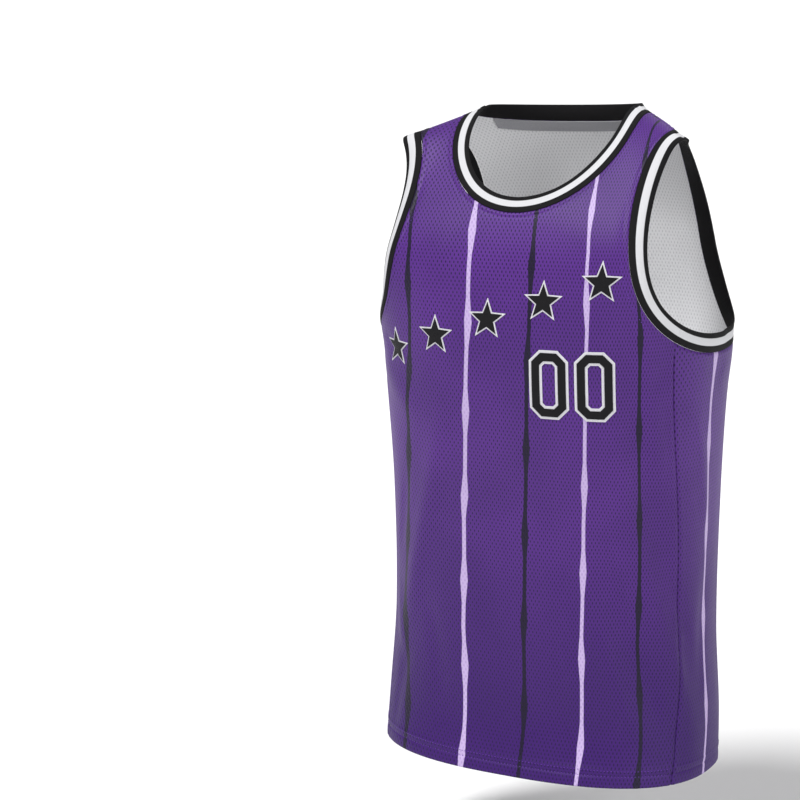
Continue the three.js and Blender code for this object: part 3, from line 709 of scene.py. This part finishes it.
# Relief that sewing gives the panels, by distance from each edge
sewing = {
    "seamGroove": (-0.75, 1.3), "seamRidge": (0.55, 4.2, 2.0),
    "edgeRidge": (0.5, 2.6, 1.6), "edgeGroove": (-0.3, 5.6, 1.4),
    "hemStitch": (-0.6, 13.0, 1.3), "hemRidge": (0.55, 20.0, 1.9),
}


def bell(value, at, width):
    return np.exp(-((value - at) / width) ** 2)


def hemRelief(above):
    depth, at, width = sewing["hemStitch"]
    rise, ridgeAt, ridgeWidth = sewing["hemRidge"]
    roll = -0.55 * np.exp(-above / 1.0)
    return depth * bell(above, at, width) + rise * bell(above, ridgeAt, ridgeWidth) + roll


def seamRelief(away):
    depth, width = sewing["seamGroove"]
    rise, at, ridgeWidth = sewing["seamRidge"]
    return depth * bell(away, 0, width) + rise * bell(away, at, ridgeWidth)


def edgeRelief(away):
    rise, at, width = sewing["edgeRidge"]
    depth, grooveAt, grooveWidth = sewing["edgeGroove"]
    return rise * bell(away, at, width) + depth * bell(away, grooveAt, grooveWidth) - 0.5 * bell(away, 0, 0.9)


def skins(point, outward, relief, z):
    half = body["halfThickness"]
    inHem = 1 - smoothStep(z, bottom + body["hemHeight"] - 1, bottom + body["hemHeight"] + 1)
    outer = point + outward * (half + relief)[..., None]
    inner = point - outward * (half + 0.9 * inHem - 0.35 * np.minimum(relief, 0))[..., None]
    return outer, inner


def facePanel(isBack):
    halfTurn, halfZ = facePlaces(isBack)
    turn = np.concatenate([halfTurn[:, :0:-1], halfTurn], axis=1)
    z = np.concatenate([halfZ[:, :0:-1], halfZ], axis=1)
    count = halfTurn.shape[1] - 1
    side = np.where(np.arange(turn.shape[1]) < count, -1.0, 1.0) * (-1 if isBack else 1)
    side = np.broadcast_to(side, turn.shape)
    isThere = ~np.isnan(turn)
    safeTurn = np.where(isThere, turn, np.pi if isBack else 0.0)
    safeZ = np.where(isThere, z, -300.0)
    point, outward = cloth(safeTurn, safeZ, side)
    x = np.abs(sectionPoint(safeTurn, safeZ)[0])
    ridgeY = middleY(x[-1], safeZ[-1]) + (0.15 if isBack else -0.15)
    point[-1, :, 1] = np.where(isThere[-1], ridgeY, point[-1, :, 1])
    refZ = np.minimum(safeZ, -110.0)
    refLength = lengthAtTurn(turnAtX(x, refZ, np.full(x.shape, isBack)), refZ)
    length = np.where(safeZ < -110, lengthAtTurn(safeTurn, safeZ), refLength)
    length = halfGirth(refZ) - length if isBack else length
    s = side * length
    uv = np.stack([patternAcross(s, safeZ, isBack), clothUp(x, safeZ, isBack)], axis=-1)
    return {"point": point, "outward": outward, "z": safeZ, "uv": uv, "isThere": isThere}


def neckRun(panel):
    # The neck edge from the shoulder at the grid's first column to the other shoulder
    low = panel["point"].shape[0] - 1 - panelGrid["strapRows"]
    first = panelGrid["strapColumns"]
    last = panel["point"].shape[1] - 1 - first
    return [np.concatenate([grid[:low:-1, first], grid[low, first:last + 1], grid[low + 1:, last]])
            for grid in (panel["point"], panel["outward"])]


def resample(points, outward, count):
    # Evenly spaced points round a closed line, with their outward directions evened out
    closed = np.concatenate([points, points[:1]])
    lengths = np.concatenate([[0], np.cumsum(np.linalg.norm(np.diff(closed, axis=0), axis=1))])
    wanted = np.linspace(0, lengths[-1], count, endpoint=False)
    closedOut = np.concatenate([outward, outward[:1]])
    place = np.stack([np.interp(wanted, lengths, closed[:, i]) for i in range(3)], axis=-1)
    out = np.stack([np.interp(wanted, lengths, closedOut[:, i]) for i in range(3)], axis=-1)
    for _ in range(4):
        out = (np.roll(out, 1, 0) + 2 * out + np.roll(out, -1, 0)) / 4
    return place, out / np.linalg.norm(out, axis=1, keepdims=True), lengths[-1]


bands = {
    "neck": {"width": 20, "bend": 0.16, "frontBend": 0.0, "backBend": -1.3, "count": 640},
    "arm": {"width": 22, "bend": 0.2, "frontBend": 0.75, "backBend": -0.65, "count": 720},
    "stations": (0, 0.02, 0.05, 0.1, 0.2, 0.31, 0.34, 0.37, 0.45, 0.53,
                 0.61, 0.69, 0.72, 0.75, 0.83, 0.9, 0.95, 0.98, 1.0),
    "grooves": (0.34, 0.72),  # where the rib's stripes meet
}


def bandPiece(name, points, outward, size):
    # A folded band carried round the edge: an arc across, with a rounded free edge
    place, out, total = resample(points, outward, size["count"])
    along = np.roll(place, -1, 0) - np.roll(place, 1, 0)
    along /= np.linalg.norm(along, axis=1, keepdims=True)
    inwards = np.cross(out, along)
    inwards /= np.linalg.norm(inwards, axis=1, keepdims=True)
    stations = np.array(bands["stations"])
    half = 1.2 * np.sqrt(np.clip(1 - np.clip((stations - 0.93) / 0.072, 0, 1) ** 2, 0.02, 1))
    half -= 0.45 * np.exp(-stations / 0.03)
    outer = half - 0.12 * sum(bell(stations, at, 0.015) for at in bands["grooves"])
    across = np.concatenate([stations, stations[-2::-1]])
    lift = np.concatenate([outer, -half[-2::-1]])
    bend = (size["bend"] + size["frontBend"] * np.maximum(0, -out[:, 1])
            + size["backBend"] * np.maximum(0, out[:, 1]))
    bend = np.where(np.abs(bend) < 0.001, 0.001, bend)[:, None]
    radius = (size["width"] - body["gap"]) / bend
    turned = bend * across
    ahead = body["gap"] + radius * np.sin(turned)
    under = -radius * (1 - np.cos(turned))
    normal = out[:, None] * np.cos(turned)[..., None] + inwards[:, None] * np.sin(turned)[..., None]
    ripple = 0.12 * np.sin(np.arange(size["count"]) * 2 * np.pi * 9 / size["count"] + 1.3)
    grid = (place[:, None] + inwards[:, None] * ahead[..., None] + out[:, None] * under[..., None]
            + normal * (lift + ripple[:, None] * across)[..., None])
    uv = np.stack(np.broadcast_arrays(
        np.linspace(0, total, size["count"], endpoint=False)[:, None], across * 1000), axis=-1)
    slots = np.zeros(grid.shape[:2], int)
    slots[:, len(stations) - 1:] = 1
    return ringMesh(name, grid, uv, slots, [ribStriped, ribPlain]), total


front, back = facePanel(False), facePanel(True)
frontNeck, backNeck = neckRun(front), neckRun(back)
neckLine = [np.concatenate([a, b[1:-1]]) for a, b in zip(frontNeck, backNeck)]
print("faces laid out")


def sidePanel(isRight):
    # Between the side seams, its top row on the bottom of the armhole
    part = crowdEnds(panelGrid["sideColumns"], True, True)
    span = 2 * np.pi - joins["back"] - joins["front"]
    angle = joins["front"] + span * part
    angle = np.where(angle > np.pi, angle - 2 * np.pi, angle)
    _, edgeZ, edgeTurn = armholePoint(angle)
    edgeLength = lengthAtTurn(edgeTurn, edgeZ)
    seamFront, seamBack = body["seam"]["front"], body["seam"]["back"]
    crowded = (edgeLength - seamFront) / (halfGirth(edgeZ) - seamBack - seamFront)
    crowded[0], crowded[-1] = 0, 1
    heights = heightsUpTo(float(edgeZ.min()) - 54)
    rise = np.concatenate([np.zeros(len(heights)), np.linspace(0, 1, 15)[1:]])[:, None]
    start = np.concatenate([heights, np.full(14, heights[-1])])[:, None]
    z = start + rise * (edgeZ - start)
    share = part + (crowded - part) * rise
    low = seamFront + body["gap"] / 2
    high = halfGirth(z) - seamBack - body["gap"] / 2
    length = low + share * (high - low)
    side = -1.0 if isRight else 1.0
    point, outward = cloth(turnAtLength(length, z), z, side)
    width = halfGirth(np.array([-450.0]))[0] - seamBack - seamFront
    at = stripes["sideAt"]["right" if isRight else "left"]
    uv = np.stack([(share - at) * width * side, z], axis=-1)
    grids = {"point": point, "outward": outward, "z": z, "uv": uv}
    if isRight:
        grids = {key: grid[:, ::-1] for key, grid in grids.items()}
    return grids


sides = {"left": sidePanel(False), "right": sidePanel(True)}


def armLine(isRight):
    # The edge of one armhole: front strap, side panel's top, back strap
    rows = panelGrid["underNeckRows"] + panelGrid["strapRows"] + 1
    frontColumn, backColumn = (0, -1) if isRight else (-1, 0)
    side = sides["right" if isRight else "left"]
    runs = []
    for key in ("point", "outward"):
        frontEdge = front[key][-rows:, frontColumn]
        backEdge = back[key][-rows:-1, backColumn]
        sideEdge = side[key][-1, 1:-1]
        if isRight:
            runs.append(np.concatenate([frontEdge, backEdge[::-1], sideEdge]))
        else:
            runs.append(np.concatenate([frontEdge[::-1], sideEdge, backEdge]))
    return runs


armLines = {"left": armLine(False), "right": armLine(True)}


def closeLine(points, isClosed=True):  # the same line with points about a millimetre apart
    closed = np.concatenate([points, points[:1]]) if isClosed else points
    lengths = np.concatenate([[0], np.cumsum(np.linalg.norm(np.diff(closed, axis=0), axis=1))])
    wanted = np.linspace(0, lengths[-1], int(lengths[-1] / 1.5))
    return np.stack([np.interp(wanted, lengths, closed[:, i]) for i in range(3)], axis=-1)


rings = [closeLine(neckLine[0]), closeLine(armLines["left"][0]), closeLine(armLines["right"][0])]
bandEdges = np.concatenate(rings)


def panelPiece(name, panel, cover, isSide):
    point, z = panel["point"], panel["z"]
    armRows = point.shape[0] - 14 if isSide else len(heightsUpTo(-250.0))
    seamLines = [closeLine(point[:armRows, column], False) for column in (0, -1)]
    relief = seamRelief(nearest(point, np.concatenate(seamLines)))
    relief = relief + edgeRelief(nearest(point, bandEdges)) + hemRelief(z - bottom)
    outer, inner = skins(point, panel["outward"], relief, z)
    return wallMesh(name, outer, inner, panel["uv"], [cover, insideMesh], panel.get("isThere"))


pieces = {
    "front_panel": panelPiece("frontPanelMesh", front, frontMesh, False),
    "back_panel": panelPiece("backPanelMesh", back, backMesh, False),
    "side_panel_left": panelPiece("sidePanelLeftMesh", sides["left"], sideMesh, True),
    "side_panel_right": panelPiece("sidePanelRightMesh", sides["right"], sideMesh, True),
}
print("panels made")
pieces["neck_band"], neckLength = bandPiece("neckBandRib", *neckLine, bands["neck"])
pieces["armhole_band_left"], armLength = bandPiece("armholeBandLeftRib", *armLines["left"], bands["arm"])
pieces["armhole_band_right"], _ = bandPiece("armholeBandRightRib", *armLines["right"], bands["arm"])
print("bands made", round(neckLength), round(armLength))

# The tape inside the back of the neck
tape = {"width": 12.0, "thickness": 1.0, "lift": 0.4}


def tapePiece():
    share = body["lowNeckShare"]["back"] * np.linspace(-1, 1, 181)
    x, z = neckEdgeAt(np.abs(share), True)
    down = np.array([0, 0.06, 0.14, 0.24, 0.4, 0.6, 0.76, 0.86, 0.94, 1.0])[:, None]
    gridZ = z - (1 - down) * tape["width"]
    gridX = np.broadcast_to(x, gridZ.shape)
    turn = turnAtX(gridX, gridZ, np.full(gridX.shape, True))
    side = np.broadcast_to(np.where(share < 0, 1.0, -1.0), gridX.shape)
    point, outward = cloth(turn, gridZ, side)
    depth = body["halfThickness"] + tape["lift"]
    dips = 0.25 * (bell(down, 0.14, 0.05) + bell(down, 0.86, 0.05))
    outer = point - outward * depth
    inner = point - outward * (depth + tape["thickness"] - dips)[..., None]
    uv = np.stack(np.broadcast_arrays(np.linspace(0, 230, 181)[None], down * tape["width"]), axis=-1)
    return wallMesh("backNeckTape", outer, inner, uv, [tapeTwill, tapeTwill])


pieces["back_neck_tape"] = tapePiece()
print("tape made")

# Numbers and stars: black twill on white, pressed down so that they follow the folds
patches = {
    "white": {"lift": (0.45, 1.4), "cloth": whiteTwill},
    "black": {"lift": (1.1, 1.95), "cloth": blackTwill},
    "numbers": {
        "front": {"at": ((56.5, -286), (108, -286)), "size": (45, 78), "cut": 12, "stroke": 15, "border": 3},
        "back": {"at": ((62, -293.5), (-51.5, -293.5)), "size": (106, 177), "cut": 27, "stroke": 33, "border": 4.5},
    },
    "stars": {
        "front": {"radius": 24, "border": 4.5, "at": (
            (-150, -262), (-83.75, -239.5), (-17.5, -217), (48.75, -194.5), (115, -172))},
        "back": {"radius": 16.5, "border": 3.5, "at": (
            (-115, -165), (-79, -143), (-40, -128), (0, -123), (40, -128), (79, -143), (115, -165))},
    },
    "starWaist": 0.42,
}


def onCloth(s, z, isBack, lift):  # points that far out from the cloth's middle
    length = halfGirth(z) - np.abs(s) if isBack else np.abs(s)
    point, outward = cloth(turnAtLength(length, z), z, np.where(s < 0, -1.0, 1.0))
    return point + outward * np.asarray(lift, float)[..., None], outward


def walk(corners, counts):  # evenly spaced points along each side of a closed outline
    parts = [start + (end - start) * np.linspace(0, 1, count, endpoint=False)[:, None]
             for start, end, count in zip(corners, np.roll(corners, -1, 0), counts)]
    return np.concatenate(parts)


def octagon(size, cut, inset):  # a rectangle with cut corners, drawn in evenly
    a, b, c = size[0] / 2 - inset, size[1] / 2 - inset, cut - 0.586 * inset
    corners = np.array([(a - c, b), (a, b - c), (a, c - b), (a - c, -b),
                        (c - a, -b), (-a, c - b), (-a, b - c), (c - a, b)])
    short, tall, flat = 1.41 * cut, size[1] - 2 * cut, size[0] - 2 * cut
    counts = [max(3, round(side / 4)) for side in (short, tall, short, flat) * 2]
    return walk(corners, counts)


def starOutline(radius):
    angles = np.arange(10) * np.pi / 5
    reach = radius * np.where(np.arange(10) % 2 == 0, 1, patches["starWaist"])
    return walk(np.stack([reach * np.sin(angles), reach * np.cos(angles)], -1), [5] * 10)


def patchPiece(name, kind, outlines, isBack):
    # Each outline is a list of loops from its outer edge inwards and the place of its centre
    low, high = patches[kind]["lift"]
    points, faces, uvs, start = [], [], [], 0
    for loops, place in outlines:
        flat = np.concatenate([loops, loops[::-1]]).swapaxes(0, 1) + np.array(place)
        flat = flat if isBack else flat[::-1]
        lift = np.broadcast_to(np.repeat([high, low], len(loops)), flat.shape[:2])
        grid, _ = onCloth(flat[..., 0], flat[..., 1], isBack, lift)
        points.append(grid.reshape(-1, 3))
        uvs.append(flat.reshape(-1, 2))
        faces.append(ringFaces(*flat.shape[:2]) + start)
        start += points[-1].shape[0]
    faces = np.concatenate(faces)
    return meshObject(name, np.concatenate(points), faces, np.concatenate(uvs), np.zeros(len(faces)),
                      [patches[kind]["cloth"]])


def numberPatch(face, kind):
    number = patches["numbers"][face]
    edge = number["border"] if kind == "black" else 0
    last = number["stroke"] - edge
    insets = (edge, edge + 0.3, edge + 1.0, (edge + last) / 2, last - 1.0, last - 0.3, last)
    loops = np.stack([octagon(number["size"], number["cut"], inset) for inset in insets])
    outlines = [(loops, place) for place in number["at"]]
    return patchPiece(f"{face}Number{kind.title()}", kind, outlines, face == "back")


def starPatch(face, kind):
    row = patches["stars"][face]
    radius = row["radius"] if kind == "white" else row["radius"] - row["border"]
    loops = np.stack([starOutline(radius * scale) for scale in (1, 0.985, 0.93, 0.7, 0.4, 0.15, 0.01)])
    outlines = [(loops, place) for place in row["at"]]
    return patchPiece(f"{face}Stars{kind.title()}", kind, outlines, face == "back")


sewnOn = {face: [make(face, kind) for make in (numberPatch, starPatch) for kind in ("white", "black")]
          for face in ("front", "back")}
print("numbers and stars made")

# Stitches: short raised threads, sunk at both ends
stitch = {
    "length": 2.9, "width": 0.42, "height": 0.32, "pitch": 3.9, "sunk": 0.35,
    "hemRows": (13.0, 19.0), "bandRow": 8.5,
}


def stitchPiece(name, lines, thread):
    # Each line is (points, outward); a stitch is three small rings along it
    scale = np.array([0.5, 1.0, 0.5])[:, None]
    corners = np.array([(-1, 0), (0, 1), (1, 0), (0, -1)], float)
    along = np.array([-0.5, 0, 0.5])[:, None] * stitch["length"]
    aside = scale * corners[:, 0] * stitch["width"]
    above = scale * corners[:, 1] * stitch["height"] + stitch["sunk"] * np.array([-1, 0, -1])[:, None]
    spots, ahead, out = [], [], []
    for points, outward in lines:
        lengths = np.concatenate([[0], np.cumsum(np.linalg.norm(np.diff(points, axis=0), axis=1))])
        wanted = np.arange(stitch["pitch"] / 2, lengths[-1], stitch["pitch"])
        step = stitch["length"] / 2
        before, place, after, normal = [
            np.stack([np.interp(at, lengths, grid[:, i]) for i in range(3)], axis=-1)
            for at, grid in ((wanted - step, points), (wanted, points), (wanted + step, points), (wanted, outward))]
        spots.append(place)
        ahead.append((after - before) / np.linalg.norm(after - before, axis=1, keepdims=True))
        out.append(normal / np.linalg.norm(normal, axis=1, keepdims=True))
    spots, ahead, out = [np.concatenate(part)[:, None, None] for part in (spots, ahead, out)]
    beside = np.cross(out, ahead)
    grid = spots + ahead * (along + 0 * aside)[..., None] + beside * aside[..., None] + out * above[..., None]
    index = np.arange(12).reshape(3, 4)
    after = np.roll(index, -1, 1)
    shell = np.stack([index[:-1], index[1:], after[1:], after[:-1]], -1).reshape(-1, 4)
    one = np.concatenate([shell, index[:1], index[2:, ::-1]])
    faces = (one + np.arange(len(grid))[:, None, None] * 12).reshape(-1, 4)
    uv = np.broadcast_to(np.stack([along + 0 * aside, aside], -1), (*grid.shape[:3], 2))
    return meshObject(name, grid.reshape(-1, 3), faces, uv.reshape(-1, 2), np.zeros(len(faces)), [thread])


def hemLine(low, high, above, isBack):  # along the hem between two places of one face
    s = np.linspace(low, high, int((high - low) / 2))
    lift = body["halfThickness"] + hemRelief(above) + 0.08
    return onCloth(s, np.full(s.shape, bottom + above), isBack, np.full(s.shape, lift))


def rowFromEdge(points, outward, away):
    # Where the distance from the bands passes the stitch row, walking inwards on axis 1
    passed = np.argmax(away > stitch["bandRow"], axis=1)
    rows = np.arange(len(away))
    before, after = away[rows, passed - 1], away[rows, passed]
    share = ((stitch["bandRow"] - before) / (after - before))[:, None]
    place, out = [grid[rows, passed - 1] * (1 - share) + grid[rows, passed] * share
                  for grid in (points, outward)]
    return place + out * (body["halfThickness"] + 0.06), out


def bandRows(panel):
    # Stitch rows of one panel along the bands it meets
    point, outward = panel["point"], panel["outward"]
    away = nearest(point, bandEdges)
    grids = (point, outward, away)
    deep, reach = point.shape[0] - 1 - panelGrid["strapRows"], 14
    first, last = panelGrid["strapColumns"], point.shape[1] - 1 - panelGrid["strapColumns"]
    armRows = slice(-(panelGrid["underNeckRows"] + panelGrid["strapRows"]) + 3, -1)
    return [
        rowFromEdge(*[grid[armRows, :reach] for grid in grids]),
        rowFromEdge(*[grid[armRows, :-reach - 1:-1] for grid in grids]),
        rowFromEdge(*[grid[deep + 1:-1, first:first - reach:-1] for grid in grids]),
        rowFromEdge(*[grid[deep + 1:-1, last:last + reach] for grid in grids]),
        rowFromEdge(*[grid[deep:deep - reach:-1, first + 2:last - 1].swapaxes(0, 1) for grid in grids]),
    ]


for face, panel in (("front", front), ("back", back)):
    reach = body["seam"][face] - 4
    lines = [hemLine(-reach, reach, above, face == "back") for above in stitch["hemRows"]]
    sewnOn[face].append(stitchPiece(f"{face}Stitches", lines + bandRows(panel), purpleThread))
print("stitches made")

# Cut sizes of the cloth that shows, width and length in metres, and what each hangs from
cuts = {
    "front_panel": {"flat": (0.40, 0.82), "cloth": "mesh_cloth", "hangsFrom": ("back_panel",)},
    "back_panel": {"flat": (0.445, 0.86), "cloth": "mesh_cloth", "hangsFrom": ("front_panel",)},
    "back_neck_tape": {"flat": (0.013, 0.25), "cloth": "neck_tape", "hangsFrom": ("back_panel",)},
}
for node, flat, slot in (
    ("side_panel_left", (0.115, 0.53), "mesh_cloth"),
    ("side_panel_right", (0.115, 0.53), "mesh_cloth"),
    ("neck_band", (0.020, neckLength / 1000), "rib_knit"),
    ("armhole_band_left", (0.022, armLength / 1000), "rib_knit"),
    ("armhole_band_right", (0.022, armLength / 1000), "rib_knit"),
):
    cuts[node] = {"flat": flat, "cloth": slot, "hangsFrom": ("front_panel", "back_panel")}


def clothArea(piece):  # half the area of the two skins, in square metres
    areas = np.zeros(len(piece.data.polygons))
    piece.data.polygons.foreach_get("area", areas)
    return areas.sum() / 2


for node, piece in pieces.items():
    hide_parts(node)
    width, length = cuts[node]["flat"]
    area = min(clothArea(piece), width * length)

# Studio: pale floor, soft light from above and the front, camera at the photo's angle
studio = {
    "floorDrop": 900.0, "floor": "#f2f2f2", "world": "#ffffff", "worldStrength": 0.28,
    "suns": (  # azimuth, elevation, strength and soft angle
        (-30, 58, 3.1, 18),
        (62, 26, 1.3, 40),
        (172, 40, 0.5, 60),
    ),
}
view = {
    "azimuth": 23.2, "distance": 2709.0, "height": 227.0,
    "heading": 27.13, "down": 11.79, "focalPixels": 2344.0, "width": 800, "sensor": 36.0,
}


def makeStudio():
    scene = bpy.context.scene
    floorMaterial, tree, shader = newMaterial("paleFloorPaint", 0.85)
    place = addNode(tree, "ShaderNodeTexCoord").outputs["Object"]
    grain = addNode(tree, "ShaderNodeTexNoise", None, Vector=place, Scale=3.0, Detail=2.0).outputs[0]
    paint = mixColour(tree, grain, linear("#f2f2f2"), linear(studio["floor"]))
    tree.links.new(paint, shader.inputs["Base Color"])
    z = -studio["floorDrop"] / 1000
    mesh = bpy.data.meshes.new("floor")
    mesh.from_pydata([(-60, -60, z), (60, -60, z), (60, 60, z), (-60, 60, z)], [], [(0, 1, 2, 3)])
    mesh.materials.append(floorMaterial)
    floor = bpy.data.objects.new("floor", mesh)
    scene.collection.objects.link(floor)
    world = bpy.data.worlds.new("softRoom")
    world.use_nodes = True
    background = world.node_tree.nodes["Background"]
    background.inputs[0].default_value = linear(studio["world"])
    background.inputs[1].default_value = studio["worldStrength"]
    scene.world = world
    for number, (azimuth, elevation, strength, angle) in enumerate(studio["suns"]):
        light = bpy.data.lights.new(f"softSun{number}", "SUN")
        light.angle, light.energy = np.radians(angle), strength
        lamp = bpy.data.objects.new(light.name, light)
        lamp.rotation_euler = (np.radians(90 - elevation), 0, np.radians(azimuth))
        scene.collection.objects.link(lamp)
    scene.view_settings.view_transform = "Standard"
    camera = bpy.data.objects.new("photoCamera", bpy.data.cameras.new("photoCamera"))
    turn, down, heading = np.radians([view["azimuth"], view["down"], view["heading"]])
    across, along = view["distance"] * np.sin(turn), view["distance"] * np.cos(turn)
    camera.location = np.array([across, -along, view["height"]]) / 1000
    camera.rotation_euler = (np.pi / 2 - down, 0, heading)
    camera.data.sensor_width = view["sensor"]
    camera.data.lens = view["focalPixels"] / view["width"] * view["sensor"]
    scene.collection.objects.link(camera)
    scene.camera = camera


makeStudio()
print("studio made")
